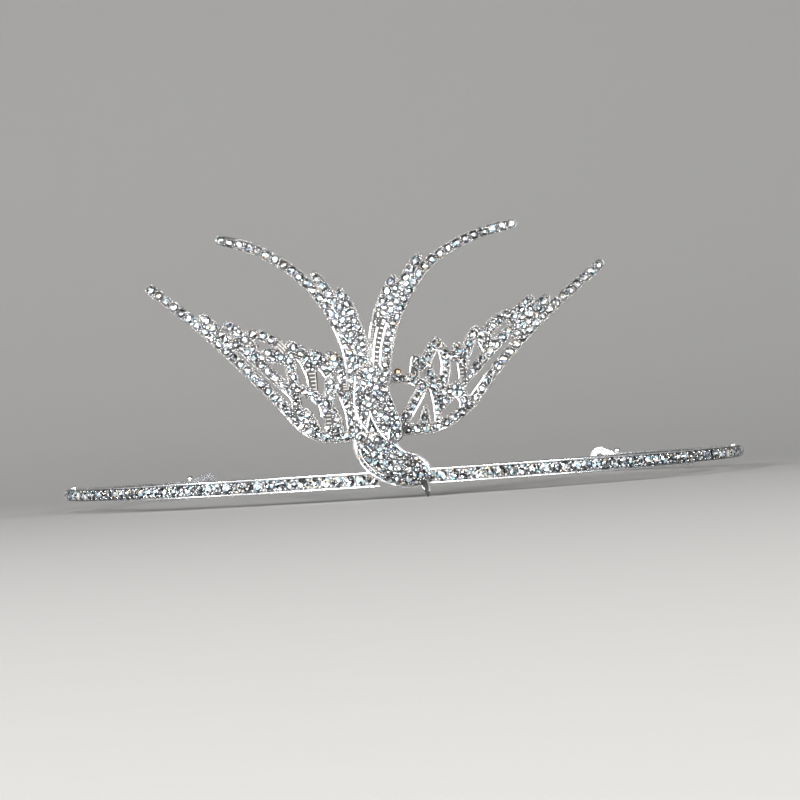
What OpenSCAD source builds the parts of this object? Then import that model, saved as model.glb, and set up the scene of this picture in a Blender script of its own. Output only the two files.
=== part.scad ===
// Bird crown headband: a sprung open hoop, channel-set with one row of round stones,
// and a diving swallow that stands on its front, with pierced wings and a forked tail.
// Millimetres. X runs across the head, -Y is the front and +Z is up. The origin is
// under the middle of the whole piece, on the plane that it rests on: the tip of the
// beak and the two end loops touch that plane.

/* [Hoop] */
// Outer radius of the hoop over its rims
hoop_r = 75.5; // [74:0.5:78]
// Height of the channel at the front
band_h = 3.1; // [2.8:0.1:3.4]
// Height of the middle of the band above the resting plane
band_z = 3.95; // [3.7:0.05:4.2]
// Thickness of the strip under the stones
strip_t = 0.9; // [0.8:0.05:1.1]
// Height of a rim above the strip
rim_rise = 0.7; // [0.5:0.05:0.8]
// Width of a rim
rim_w = 0.42; // [0.3:0.02:0.44]
// Height of the strip at the sides, where the rims have ended
side_h = 2.45; // [2.3:0.05:2.6]
// Height of the plain strip at the back
back_h = 2.6; // [2.3:0.05:2.8]
// Angle from the front at which the rims end
rim_end = 52.5; // [48:0.5:56]
// Angle from the front to the middle of an end loop
loop_at = 139; // [136:0.5:142]

/* [Loops] */
// Outer radius of an end loop
loop_r = 3.1; // [2.8:0.1:3.4]
// Radius of the hole in an end loop
hole_r = 1.5; // [1.3:0.05:1.6]
// Thickness of an end loop
loop_t = 1.2; // [1:0.1:1.4]
// Length of the neck from the hole to the strip
neck_l = 5.2; // [4.8:0.1:6]
// Radius of a ball on the neck
knob_r = 0.8; // [0.7:0.05:0.9]

/* [Stones] */
// Width of a stone in the band
band_stone = 2.08; // [1.9:0.02:2.1]
// Spacing of the stones in the band
band_pitch = 2.34; // [2.3:0.02:2.5]
// Height of a stone in the band
band_stone_h = 0.85; // [0.7:0.05:1]
// Width of a stone in the wings and the tail
pave_stone = 1.5; // [1.4:0.02:1.54]
// Spacing of the stones in the wings and the tail
pave_pitch = 1.9; // [1.88:0.02:2]
// Height of a stone in the wings and the tail
pave_stone_h = 0.6; // [0.5:0.05:0.7]

/* [Bird] */
// Thickness of a wing or tail plate under its rims
plate_t = 0.8; // [0.7:0.05:0.9]
// Height of the rims on the wings and the tail
edge_rise = 0.3; // [0.2:0.05:0.35]
// Width of the rims on the wings and the tail
edge_w = 0.3; // [0.25:0.05:0.35]
// Length over which a feather widens from its tip
tip_l = 3; // [2:0.5:4]
// Angle by which each wing sweeps back
sweep = 7; // [5:0.5:9]
// Angle by which the mantle leans out over the breast
mantle_lean = 5; // [4:0.5:6]
// Radius of the rounded back of the mantle
mantle_round = 9; // [8:0.5:11]
// Radius of the brass bead behind the right wing
bead_r = 0.75; // [0.6:0.05:0.8]

/* [Hidden] */
$fn = 48;

// Clear space between one piece and the next
gap = 0.05;
// Widest slit between two feathers that is closed, as half its width
slit = 0.12;
// Longest straight stretch in the edge of a feather
facet_l = 2;

// Radius of the strip's inner face and of its outer face, the floor of the channel
inner_r = hoop_r - rim_rise - strip_t;
floor_r = hoop_r - rim_rise;
// Angles from the front at which the channel ends behind the breast
channel_left = 3.6;
channel_right = 2.7;
// How far the back half of the hoop droops, so that its loops reach the resting plane
mid_r = (inner_r + floor_r) / 2;
loop_y = -mid_r * cos(loop_at);
droop = asin((band_z - loop_r) / loop_y);
// Overlap, as an angle, of one stretch of the hoop with the next
lap = 0.4;
// How far the rims stand back from the strip's inner face, how much further in the back
// half and the bridge lie, and the angle by which the strip ends short of the rims
ledge = 0.15;
step_in = 0.2;
short = 0.25;

// The post behind the bird, which stands on the hoop, and its tongue inside the strip
post_x = -7.2;
post_w = 4.4;
post_low = 5.3;
post_high = 23.5;
post_t = 1.2;
tongue_t = 0.3;
tongue_low = 4;
post_back = inner_r + 0.2;

// Distances in front of the hoop's middle: wings and body plate, then tail and body,
// then the mantle
wing_back = hoop_r + 0.2;
body_plate_back = hoop_r + 0.25;
tail_back = wing_back + plate_t + edge_rise + gap;
mantle_back = tail_back + plate_t + edge_rise + gap;
// Where the left and right wing are hinged into their sweep
left_root = -5;
right_root = -4.7;
// The line on which the two halves of the tail part
tail_split = -5.3;
// Heights at which the body ends, the tail begins and the body plate ends
body_top = 21.9;
tail_root = 22.1;
body_plate_top = 11.3;
// The line about which the mantle is round, and the height from which it leans
mantle_x = -4.2;
mantle_top = 26;
mantle_t = 1.5;
// The mantle's lowest point, where it reaches furthest forward, and its height over its back
mantle_tip = [-2.7, 11.0];
tip_rise = mantle_t - mantle_round
    + sqrt((mantle_round + edge_rise) ^ 2 - (mantle_tip[0] - mantle_x) ^ 2);

// Height of the breast in front of its flat back, at its fullest
breast_rise = 3.6;
// How far the whole piece reaches in front of and behind the hoop's middle
front_reach = max(tail_back + breast_rise, mantle_back
    + (mantle_top - mantle_tip[1]) * sin(mantle_lean) + tip_rise * cos(mantle_lean));
back_reach = loop_y + loop_r * sin(loop_at) + loop_t / 2 * abs(cos(loop_at));
hoop_y = (front_reach - back_reach) / 2;

// Feathers and ribs of the left wing, each a strip on an arc:
// start x, start z, end x, end z, bow to the left of its run, width at the start,
// width at the end, distance to the first stone, number of stones
LEFT_WING = [
    // the leading edge, from the tip to the root
    [-47.5, 44.0, -39.6, 37.3, 0, 1.9, 2.0, 0.1, 6],
    [-39.6, 37.3, -21.1, 17.6, 0.3, 2.0, 2.2, 1.4, 14],
    [-21.1, 17.6, -14.0, 12.7, -1.05, 2.2, 2.2, 0.9, 5],
    [-14.0, 12.7, -6.2, 12.7, 0, 2.2, 2.3, 1.5, 2],
    // the long feathers and the rib under them
    [-37.4, 37.8, -31.6, 31.4, 0, 1.8, 2.2, 0.9, 3],
    [-32.8, 36.0, -28.0, 31.3, 0.2, 1.7, 2.3, 0.8, 3],
    [-28.0, 33.9, -21.2, 29.6, 0.9, 1.9, 2.0, 0.3, 3],
    [-31.0, 32.4, -20.2, 21.2, 0, 2.2, 2.2, 4.6, 6],
    [-27.2, 30.0, -26.4, 29.6, 0, 1.4, 1.4, 0, 0],
    [-20.3, 21.3, -19.7, 17.4, 0, 2.1, 2.0, 0, 0],
    [-25.3, 30.0, -21.2, 29.5, 0, 1.8, 2.2, 0.3, 1],
    [-25.4, 29.1, -21.6, 28.5, 0, 2.4, 2.2, 0, 0],
    [-20.9, 28.6, -20.1, 22.6, 0, 2.5, 2.2, 0, 0],
    // the short feathers and the barred strip
    [-20.4, 29.2, -18.6, 28.9, 0, 1.8, 1.6, 0, 0],
    [-20.6, 31.3, -16.6, 27.0, 0.3, 1.7, 2.6, 0.9, 2],
    [-18.8, 28.2, -17.3, 23.0, 0.15, 0.5, 0.5, 0, 0],
    [-16.7, 27.4, -16.7, 21.8, 0, 2.0, 2.0, 0, 0],
    [-16.1, 29.5, -13.0, 25.3, 0.3, 1.5, 2.3, 1.2, 1],
    [-15.2, 26.4, -13.9, 24.3, 0, 0.5, 0.5, 0, 0],
    [-12.9, 28.9, -9.4, 24.6, 0.3, 1.5, 2.6, 1.1, 1],
    [-12.9, 27.6, -12.9, 24.6, 0, 1.6, 1.6, 0, 0],
    [-12.3, 27.6, -10.3, 23.4, 0, 1.5, 1.5, 0, 0],
    // the ribs and feathers below them
    [-13.1, 23.4, -14.5, 17.4, 0.3, 2.2, 2.2, 0, 0],
    [-19.8, 22.6, -15.2, 19.9, 0.35, 2.3, 2.3, 0, 0],
    [-18.2, 17.8, -16.4, 13.8, 0.2, 1.7, 2.2, 0, 0],
    [-19.9, 18.2, -18.8, 15.2, 0, 2.2, 2.2, 0, 0],
    [-13.7, 17.0, -13.7, 13.4, 0, 1.9, 2.2, 0, 0],
    [-12.6, 17.8, -12.2, 13.2, 0, 1.4, 2.6, 0, 0],
    [-11.8, 21.3, -10.1, 13.6, 0.6, 0.6, 0.6, 0, 0],
    [-10.6, 21.0, -9.3, 13.2, 0.3, 1.6, 1.8, 0, 0],
    // the root
    [-12.8, 22.3, -8.8, 22.3, 0, 2.2, 2.4, 0, 0],
    [-9.0, 24.4, -8.6, 13.2, 0, 2.4, 2.8, 0, 0],
];

// Feathers and ribs of the right wing, with the same columns
RIGHT_WING = [
    // the leading edge, from the tip to the root
    [41.4, 43.3, 31.7, 35.8, 0, 1.9, 2.0, 0.2, 7],
    [31.7, 35.8, 14.3, 17.9, -0.65, 2.1, 2.1, 1.2, 13],
    [14.3, 17.9, 5.5, 13.2, 0.8, 2.1, 2.1, 1.0, 5],
    [5.5, 13.2, -3.6, 13.4, 0, 2.1, 2.2, 0.5, 3],
    // the long feathers and the rib under them
    [30.3, 37.1, 24.4, 31.8, -0.1, 1.8, 2.2, 0.7, 3],
    [27.2, 37.1, 23.4, 33.6, -0.1, 1.8, 2.2, 0.8, 2],
    [23.6, 34.5, 18.2, 31.2, -0.8, 2.4, 2.4, 1.2, 2],
    [24.2, 33.0, 12.6, 21.6, -0.1, 2.2, 2.0, 4.2, 5],
    [24.6, 31.6, 23.6, 30.4, 0, 1.6, 1.4, 0, 0],
    [12.6, 21.6, 9.6, 19.6, 0.2, 2.0, 2.2, 0, 0],
    // the short feathers
    [15.9, 31.8, 13.1, 26.0, -0.2, 1.7, 2.3, 1.0, 2],
    [16.9, 30.8, 18.4, 28.2, 0.2, 2.5, 2.6, 0, 0],
    [16.2, 29.5, 17.2, 27.3, 0, 0.5, 0.5, 0, 0],
    [12.0, 28.8, 12.9, 22.4, 0.3, 1.8, 2.1, 1.1, 2],
    [8.0, 30.3, 5.0, 25.6, 0, 1.5, 2.4, 2.2, 1],
    [8.2, 30.2, 8.9, 22.4, 1.0, 1.5, 2.1, 2.4, 1],
    [9.8, 27.0, 12.2, 27.2, 0, 2.0, 2.2, 0, 0],
    [7.0, 22.6, 9.0, 22.2, 0, 2.0, 2.0, 0, 0],
    [6.2, 26.4, 6.4, 21.6, 0, 1.6, 1.8, 0, 0],
    [3.7, 26.9, 3.2, 23.6, 0, 1.7, 2.1, 0.3, 1],
    // the ribs below them
    [-3.6, 22.6, 3.4, 22.4, 0.9, 1.8, 1.8, 0, 0],
    [3.0, 22.9, 6.6, 21.2, 0, 1.7, 1.7, 0, 0],
    [4.6, 21.0, 1.0, 15.6, 0.1, 2.1, 2.3, 0, 0],
    [6.6, 21.2, 7.3, 13.6, 0.3, 1.6, 1.6, 0, 0],
    [5.0, 17.5, 4.7, 14.2, 0, 0.8, 2.4, 0, 0],
    [11.8, 21.2, 7.6, 16.7, 0, 1.9, 1.9, 0, 0],
    [8.4, 21.0, 7.9, 17.6, 0, 2.6, 1.6, 0, 0],
    [11.8, 21.0, 13.3, 17.0, 0, 2.3, 2.4, 0, 0],
    [9.2, 20.2, 12.2, 21.0, 0, 2.0, 2.2, 0, 0],
    // the root
    [-3.3, 22.6, -2.6, 13.4, 0, 2.2, 2.2, 0, 0],
    [-0.6, 15.4, 0.8, 14.2, 0, 2.2, 2.4, 0, 0],
];

// Feathers of the left and right half of the tail, with the same columns
LEFT_TAIL = [
    [-32.7, 52.3, -8.8, 22.0, 7.0, 1.8, 2.2, 0.1, 16],
    [-14.8, 44.4, -7.6, 22.0, 1.9, 1.7, 2.3, 0.9, 3],
    [-10.2, 40.9, -6.4, 22.0, 1.65, 1.7, 2.4, 0.9, 3],
];
RIGHT_TAIL = [
    [24.2, 51.8, 7.4, 45.4, -1.2, 1.8, 2.0, 0.1, 10],
    [7.4, 45.4, -2.4, 22.0, -2.4, 2.0, 2.2, 0.9, 6],
    [5.6, 46.6, -3.2, 22.0, -2.2, 1.6, 2.3, 0.9, 3],
    [0.5, 42.8, -4.3, 22.0, -1.9, 1.6, 2.3, 0.9, 3],
];

// Sections of the breast, head and beak, from under the mantle to the tip:
// outer x, outer z, inner x, inner z, rise in front of the flat back
BODY = [
    [-8.2, body_top, -2.4, body_top, 1.0],
    [-8.6, 18.0, -1.6, 18.0, 1.1],
    [-8.9, 14.0, -0.9, 14.4, 1.5],
    [-9.3, 11.4, -1.2, 11.2, 2.1],
    [-8.9, 9.0, -0.7, 10.0, 2.9],
    [-7.4, 6.3, 0.5, 9.0, 3.4],
    [-5.2, 4.2, 2.0, 8.4, breast_rise],
    [-2.6, 2.9, 3.6, 7.6, 3.5],
    [0.4, 2.3, 4.8, 6.3, 3.2],
    [2.4, 2.4, 5.2, 4.7, 2.6],
    [3.0, 2.3, 5.1, 3.3, 1.9],
    [3.5, 1.7, 5.0, 2.1, 1.4],
    [3.9, 0.9, 4.85, 1.0, 1.0],
    [4.2, 0.2, 4.65, 0.2, 0.7],
    [4.35, 0, 4.55, 0, 0.5],
];
// First and last section that the body plate follows behind the breast and head
PLATE_ROWS = [3, 9];

// Edges of the three lobes of the mantle, as x and z
LEFT_LOBE = [[-5.4, 25.8], [-7.2, 25.4], [-8.4, 23.8], [-8.85, 20.0], [-8.35, 16.4], [-7.3, 14.2],
    [-6.45, 13.5], [-5.9, 15.4], [-5.5, 18.4]];
MIDDLE_LOBE = [[-3.2, 25.7], [-5.6, 25.85], [-6.0, 20.4], [-5.9, 16.8], [-5.1, 14.2], [-3.9, 12.3],
    mantle_tip, [-2.1, 11.6], [-2.1, 14.6], [-2.0, 19.0]];
RIGHT_LOBE = [[-3.5, 25.6], [-3.2, 20.4], [-2.4, 15.0], [-2.2, 12.0], [-1.2, 10.9], [0, 11.5],
    [0.5, 13.0], [0.15, 15.2], [-0.65, 17.8], [-1.6, 20.8], [-2.0, 23.4]];
// Where the lobes part, as x and z: above it they are one surface
PARTED = [[-9, 10], [1, 10], [1, 13.8], [-3.8, 13.8], [-3.8, 17.2], [-9, 17.2]];

// Point on the arc from a to b that bows out by s at its middle, and its left normal
function arc_r(a, b, s) = (norm(b - a) ^ 2 / 4 + s * s) / (2 * s);
function left_of(a, b) = [a[1] - b[1], b[0] - a[0]] / norm(b - a);
function turn_at(a, b, s, t) = asin(norm(b - a) / 2 / arc_r(a, b, s)) * (2 * t - 1);
function arc_normal(a, b, s, t) =
    s == 0 ? left_of(a, b)
    : left_of(a, b) * cos(turn_at(a, b, s, t)) + (b - a) / norm(b - a) * sin(turn_at(a, b, s, t));
function arc_point(a, b, s, t) =
    s == 0 ? a + (b - a) * t
    : (a + b) / 2 + left_of(a, b) * (s - arc_r(a, b, s)) + arc_normal(a, b, s, t) * arc_r(a, b, s);
function arc_length(a, b, s) =
    s == 0 ? norm(b - a) : abs(turn_at(a, b, s, 1) * arc_r(a, b, s)) * PI / 90;

// The same for a row of a table, at a share t of the feather's length
function start_of(row) = [row[0], row[1]];
function end_of(row) = [row[2], row[3]];
function length_of(row) = arc_length(start_of(row), end_of(row), row[4]);
function middle_at(row, t) = arc_point(start_of(row), end_of(row), row[4], t);
function side_at(row, t) =
    arc_normal(start_of(row), end_of(row), row[4], t)
    * (row[5] + (row[6] - row[5]) * sin(90 * min(1, t * length_of(row) / tip_l))) / 2;

// Middles of the stones on every feather of a table
function stone_places(rows) =
    [for (row = rows, k = [0:1:row[8] - 1])
        middle_at(row, (row[7] + k * pave_pitch) / length_of(row))];

// Point at share t between b and c of a smooth curve through a, b, c and d
function smooth(a, b, c, d, t) =
    b + (c - a) * t / 2 + (2 * a - 5 * b + 4 * c - d) * t * t / 2 + (3 * b - 3 * c + d - a) * t * t * t / 2;
function closed_curve(points, steps) =
    [for (i = [0:len(points) - 1], k = [0:steps - 1])
        let (n = len(points))
        smooth(points[(i + n - 1) % n], points[i], points[(i + 1) % n], points[(i + 2) % n], k / steps)];
function open_curve(rows, steps) =
    [for (i = [0:len(rows) - 2], k = [0:steps - 1])
        smooth(rows[max(0, i - 1)], rows[i], rows[i + 1], rows[min(len(rows) - 1, i + 2)], k / steps),
        rows[len(rows) - 1]];

// One feather, flat, drawn as x and z
module feather(row) {
    steps = max(2, ceil(length_of(row) / facet_l));
    left = [for (i = [0:steps]) middle_at(row, i / steps) + side_at(row, i / steps)];
    right = [for (i = [steps:-1:0]) middle_at(row, i / steps) - side_at(row, i / steps)];
    polygon(concat(left, right));
    translate(start_of(row))
        circle(d = row[5], $fn = 14);
    translate(end_of(row))
        circle(d = row[6], $fn = 14);
}

// All feathers of a table, joined, with the finest slits between them closed
module feathers(rows) {
    offset(delta = -slit)
        offset(delta = slit)
            for (row = rows)
                feather(row);
}

// A flat plate with a raised rim round its outside and round each gap.
// The rim is scalloped round each stone.
module rimmed_plate(rows) {
    linear_extrude(plate_t)
        children();
    translate([0, 0, plate_t - gap])
        linear_extrude(edge_rise + gap)
            difference() {
                offset(delta = -gap)
                    children();
                offset(delta = -gap - edge_w)
                    children();
                for (place = stone_places(rows))
                    translate(place)
                        circle(d = pave_stone + 2 * gap, $fn = 16);
            }
}

// A round stone with an eight-sided table, eight crown facets and a straight girdle
module stone(width, height) {
    sides = 8;
    levels = [[width / 2, 0], [width / 2, height * 0.35], [width * 0.3, height]];
    points = [for (level = levels, k = [0:sides - 1])
        let (turn = 360 / sides * (k + 0.5))
        [level[0] * cos(turn), level[0] * sin(turn), level[1]]];
    walls = [for (i = [0, 1], k = [0:sides - 1])
        let (j = (k + 1) % sides)
        [i * sides + j, i * sides + k, (i + 1) * sides + k, (i + 1) * sides + j]];
    base = [for (k = [0:sides - 1]) k];
    table = [for (k = [sides - 1:-1:0]) 2 * sides + k];
    polyhedron(points, concat(walls, [base, table]));
}

// The stones of every feather in a table, standing on its plate
module feather_stones(rows) {
    for (place = stone_places(rows))
        translate(concat(place, plate_t + gap))
            stone(pave_stone, pave_stone_h);
}

// Stands what is drawn flat upright, its back at a distance in front of the hoop's middle
module upright(distance) {
    translate([0, hoop_y - distance, 0])
        rotate([90, 0, 0])
            children();
}

// Puts a wing's plate in place: hinged at its root and swept back
module swept(root_x, side) {
    translate([root_x, hoop_y - wing_back, 0])
        rotate([0, 0, side * sweep])
            rotate([90, 0, 0])
                translate([-root_x, 0, 0])
                    children();
}

// Part of the hoop between two angles from the front, with a profile of radius and height
module hoop_part(from, to) {
    translate([0, hoop_y, band_z])
        rotate([0, 0, from - 90])
            rotate_extrude(angle = to - from, $fn = 96)
                children();
}

// The strip under the stones, as radius and height
module strip_profile() {
    translate([inner_r, -side_h / 2])
        square([strip_t, side_h]);
}

module rim_profile() {
    for (side = [-1, 1])
        translate([inner_r + ledge, side * (band_h - rim_w) / 2 - rim_w / 2])
            square([hoop_r - inner_r - ledge, rim_w]);
}

// A ring-shaped loop on a tapering neck, with two balls where the neck starts
module end_loop() {
    neck_end = 0.4;
    difference() {
        linear_extrude(loop_t, center = true)
            hull() {
                circle(r = loop_r);
                translate([-neck_l, -back_h / 2])
                    square([neck_end, back_h]);
            }
        cylinder(h = 3 * loop_t, r = hole_r, center = true);
    }
    for (side = [-1, 1])
        translate([neck_end - neck_l, side * (back_h / 2 + knob_r * 0.7), 0])
            sphere(r = knob_r);
}

// The back half of the hoop, drooping, with its loop; side is -1 on the left, 1 on the right
module back_half(side) {
    neck_angle = (neck_l - 0.3) / mid_r * 180 / PI;
    translate([0, hoop_y, band_z])
        rotate([-droop, 0, 0])
            mirror([side < 0 ? 1 : 0, 0, 0]) {
                rotate([0, 0, -lap])
                    rotate_extrude(angle = loop_at - 90 - neck_angle + lap, $fn = 96)
                        translate([inner_r - step_in, -back_h / 2])
                            square([strip_t, back_h]);
                rotate([0, 0, loop_at - 90])
                    translate([mid_r, 0, 0])
                        rotate([0, 90, 0])
                            rotate([0, 0, 90])
                                end_loop();
            }
}

// The hoop, with its loops and the post behind the bird soldered on
module band() {
    bridge_low = -0.6;
    bridge_h = 2;
    color("silver") {
        hoop_part(-90 - lap, -channel_left - short)
            strip_profile();
        hoop_part(channel_right + short, 90 + lap)
            strip_profile();
        hoop_part(-rim_end, -channel_left)
            rim_profile();
        hoop_part(channel_right, rim_end)
            rim_profile();
        hoop_part(-channel_left - 2 * lap, channel_right + 2 * lap)
            translate([inner_r - step_in, bridge_low])
                square([strip_t, bridge_h]);
        back_half(-1);
        back_half(1);
        post();
    }
}

module post() {
    upright(post_back)
        translate([post_x, 0, 0]) {
            translate([0, post_low, 0])
                cube([post_w, post_high - post_low, post_t]);
            translate([0, tongue_low, 0])
                cube([post_w, post_low + 1 - tongue_low, tongue_t]);
        }
}

// One side's row of stones in the channel
module band_stones(side) {
    first = (side < 0 ? channel_left : channel_right) + 1.1;
    step = band_pitch / floor_r * 180 / PI;
    color("white")
        for (angle = [first:step:89])
            translate([0, hoop_y, band_z])
                rotate([0, 0, side * angle - 90])
                    translate([floor_r + gap, 0, 0])
                        rotate([0, 90, 0])
                            stone(band_stone, band_stone_h);
}

module band_stones_left() {
    band_stones(-1);
}

module band_stones_right() {
    band_stones(1);
}

module left_wing() {
    color("silver")
        swept(left_root, -1)
            rimmed_plate(LEFT_WING)
                feathers(LEFT_WING);
}

module right_wing() {
    color("silver")
        swept(right_root, 1)
            rimmed_plate(RIGHT_WING)
                feathers(RIGHT_WING);
}

module left_wing_stones() {
    color("white")
        swept(left_root, -1)
            feather_stones(LEFT_WING);
}

module right_wing_stones() {
    color("white")
        swept(right_root, 1)
            feather_stones(RIGHT_WING);
}

// Half of the tail, cut at the line where the halves part and at its root
module half_tail(rows, low_x, high_x) {
    offset(delta = -gap)
        intersection() {
            feathers(rows);
            translate([low_x, tail_root])
                square([high_x - low_x, 60]);
        }
}

module left_tail() {
    color("silver")
        upright(tail_back)
            rimmed_plate(LEFT_TAIL)
                half_tail(LEFT_TAIL, -60, tail_split);
}

module right_tail() {
    color("silver")
        upright(tail_back)
            rimmed_plate(RIGHT_TAIL)
                half_tail(RIGHT_TAIL, tail_split, 60);
}

module left_tail_stones() {
    color("white")
        upright(tail_back)
            feather_stones(LEFT_TAIL);
}

module right_tail_stones() {
    color("white")
        upright(tail_back)
            feather_stones(RIGHT_TAIL);
}

// The flat plate behind the breast and head, a little wider than they are
module body_plate() {
    margin = 0.25;
    rows = open_curve([for (i = [PLATE_ROWS[0]:PLATE_ROWS[1]]) BODY[i]], 4);
    outer = [for (row = rows) [row[0], row[1]]];
    inner = [for (i = [len(rows) - 1:-1:0]) [rows[i][2], rows[i][3]]];
    color("silver")
        upright(body_plate_back)
            linear_extrude(tail_back - body_plate_back - gap)
                intersection() {
                    offset(r = margin, $fn = 16)
                        polygon(concat(outer, inner));
                    translate([-20, 0])
                        square([40, body_plate_top]);
                }
}

// A solid through sections: each is half an ellipse, standing on the flat back
module domed(rows, sides = 14) {
    ring = sides + 1;
    points = [for (row = rows, k = [0:sides])
        let (a = [row[0], row[1]], b = [row[2], row[3]], w = 180 * k / sides)
        concat((a + b) / 2 - (b - a) / 2 * cos(w), row[4] * sin(w))];
    walls = [for (i = [0:len(rows) - 2], k = [0:sides])
        let (j = (k + 1) % ring)
        [i * ring + k, i * ring + j, (i + 1) * ring + j, (i + 1) * ring + k]];
    ends = [[for (k = [sides:-1:0]) k], [for (k = [0:sides]) (len(rows) - 1) * ring + k]];
    polyhedron(points, concat(walls, ends));
}

// Breast, head and beak, cast in one
module body() {
    color("silver")
        upright(tail_back)
            domed(open_curve(BODY, 3));
}

// The folded wings on the bird's back: three lobes with rims, on one rounded plate
module lobe(points) {
    polygon(closed_curve(points, 4));
}

module mantle_shape() {
    lobe(LEFT_LOBE);
    lobe(MIDDLE_LOBE);
    lobe(RIGHT_LOBE);
}

module flat_rim() {
    difference() {
        children();
        offset(delta = -edge_w)
            children();
    }
}

module mantle_rims() {
    flat_rim()
        mantle_shape();
    intersection() {
        polygon(PARTED);
        for (points = [LEFT_LOBE, MIDDLE_LOBE])
            flat_rim()
                lobe(points);
    }
}

// What is drawn flat, made solid up to a round back of a radius
module rounded_back(radius) {
    intersection() {
        linear_extrude(2 * mantle_t)
            offset(r = 0.02)
                children();
        translate([mantle_x, 0, mantle_t - mantle_round])
            rotate([-90, 0, 0])
                cylinder(h = 40, r = radius, $fn = 96);
    }
}

module mantle() {
    color("silver")
        translate([0, hoop_y - mantle_back, mantle_top])
            rotate([90 - mantle_lean, 0, 0])
                translate([0, -mantle_top, 0]) {
                    rounded_back(mantle_round)
                        mantle_shape();
                    rounded_back(mantle_round + edge_rise)
                        mantle_rims();
                }
}

// A bead of brass solder behind the top of the right wing's root
module brass_bead() {
    color("gold")
        swept(right_root, 1)
            translate([0.2, 24.6, -bead_r - gap])
                sphere(r = bead_r);
}

band();
band_stones_left();
band_stones_right();
left_wing();
right_wing();
left_wing_stones();
right_wing_stones();
left_tail();
right_tail();
left_tail_stones();
right_tail_stones();
body_plate();
body();
mantle();
brass_bead();
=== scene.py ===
# %% [markdown]
# # A swallow tiara headband
#
# The real thing is a sprung hoop of plated metal, set with one row of foiled glass stones,
# with a diving bird on its front. The bird is cast in a few pieces, pierced, and covered
# with stones of several sizes that are held by tiny beads of metal.
#
# The construction comes from the packed CAD model, which is loaded as a fixed frame. This
# script adds what makes it look real: cut stones, the fine stones and beads between them,
# smooth castings, polished wires, materials, light and a camera.

from math import cos, pi, radians, sin, sqrt

import bmesh
import bpy
import numpy as np
from mathutils import Matrix, Vector
from mathutils.bvhtree import BVHTree
from mathutils.kdtree import KDTree


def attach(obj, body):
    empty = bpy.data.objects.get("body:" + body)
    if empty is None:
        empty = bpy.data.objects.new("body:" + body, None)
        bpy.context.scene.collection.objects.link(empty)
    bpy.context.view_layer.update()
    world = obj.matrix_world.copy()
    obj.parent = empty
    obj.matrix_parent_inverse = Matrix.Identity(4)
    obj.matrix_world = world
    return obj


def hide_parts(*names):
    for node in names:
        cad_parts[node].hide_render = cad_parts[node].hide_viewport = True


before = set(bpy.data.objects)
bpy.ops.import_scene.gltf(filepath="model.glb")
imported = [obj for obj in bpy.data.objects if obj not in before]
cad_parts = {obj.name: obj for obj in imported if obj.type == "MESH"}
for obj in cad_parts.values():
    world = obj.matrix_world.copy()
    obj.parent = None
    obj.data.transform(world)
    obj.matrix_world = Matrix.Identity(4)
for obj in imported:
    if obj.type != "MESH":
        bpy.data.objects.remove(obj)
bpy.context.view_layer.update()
MM = 0.001

# %% [markdown]
# ## Writing node trees as expressions
#
# A node tree can be clicked together or built by a script. Here a small class wraps one
# output socket, so that arithmetic on it adds Math nodes, and another class adds any other
# node in one call. Both serve materials and geometry alike.


# %% Wires
class Wire:
    """An output socket of a node. Arithmetic on it adds Math nodes."""

    def __init__(self, graph, socket):
        self.graph, self.socket = graph, socket

    def math(self, operation, *values):
        return self.graph.add("ShaderNodeMath", {"operation": operation}, dict(enumerate(values)))

    def __add__(self, other):
        return self.math("ADD", self, other)

    def __mul__(self, other):
        return self.math("MULTIPLY", self, other)

    def __sub__(self, other):
        return self.math("SUBTRACT", self, other)

    def __rsub__(self, other):
        return self.math("SUBTRACT", other, self)

    __radd__, __rmul__ = __add__, __mul__

    def of(self, name):
        return Wire(self.graph, self.socket.node.outputs[name])


print("Wire:", Wire.__doc__)


# %% Graphs
class Graph:
    """A node tree. Its add method takes a node's type, its settings and its inputs."""

    def __init__(self, tree):
        self.tree = tree

    def add(self, kind, settings=None, values=None, out=0):
        node = self.tree.nodes.new(kind)
        for name, value in (settings or {}).items():
            if name == "stops":
                self.set_stops(node.color_ramp, value)
            else:
                setattr(node, name, value)
        for key, value in (values or {}).items():
            if isinstance(value, Wire):
                self.tree.links.new(value.socket, node.inputs[key])
            else:
                node.inputs[key].default_value = value
        return Wire(self, node.outputs[out]) if len(node.outputs) else node

    @staticmethod
    def set_stops(ramp, stops):
        ramp.interpolation = "CONSTANT"
        while len(ramp.elements) < len(stops):
            ramp.elements.new(1)
        for element, (position, color) in zip(ramp.elements, stops):
            element.position = position
            element.color = (*color, 1)


print("Graph:", Graph.__doc__)

# %% [markdown]
# ## Materials
#
# The real piece shows three finishes: bright plating, foiled glass and a spot of bare brass.
# They could be painted as pictures, but a node tree stays sharp however close one looks.
# The trees share a few helpers, for a new material, noise, a mix of two colours, a value
# that the mesh itself carries, and sums on vectors.


# %% Material helpers
def new_material(name):
    material = bpy.data.materials.new(name)
    material.use_nodes = True
    material.node_tree.nodes.clear()
    return material, Graph(material.node_tree)


def surface(graph, values):
    shader = graph.add("ShaderNodeBsdfPrincipled", None, values)
    graph.add("ShaderNodeOutputMaterial", None, {"Surface": shader})


def noise(graph, place, grain, detail=2.0):
    """Soft noise whose blotches are about grain metres wide."""
    return graph.add("ShaderNodeTexNoise", None,
        {"Vector": place, "Scale": 1 / grain, "Detail": detail})


def blend(graph, share, a, b):
    """A colour between two others."""
    return graph.add("ShaderNodeMix", {"data_type": "RGBA"}, {0: share, 6: a, 7: b}, 2)


def attribute(graph, name, out="Fac"):
    """A value that is stored in the mesh, or 0 where the mesh has none."""
    return graph.add("ShaderNodeAttribute", {"attribute_name": name}, None, out)


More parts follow.
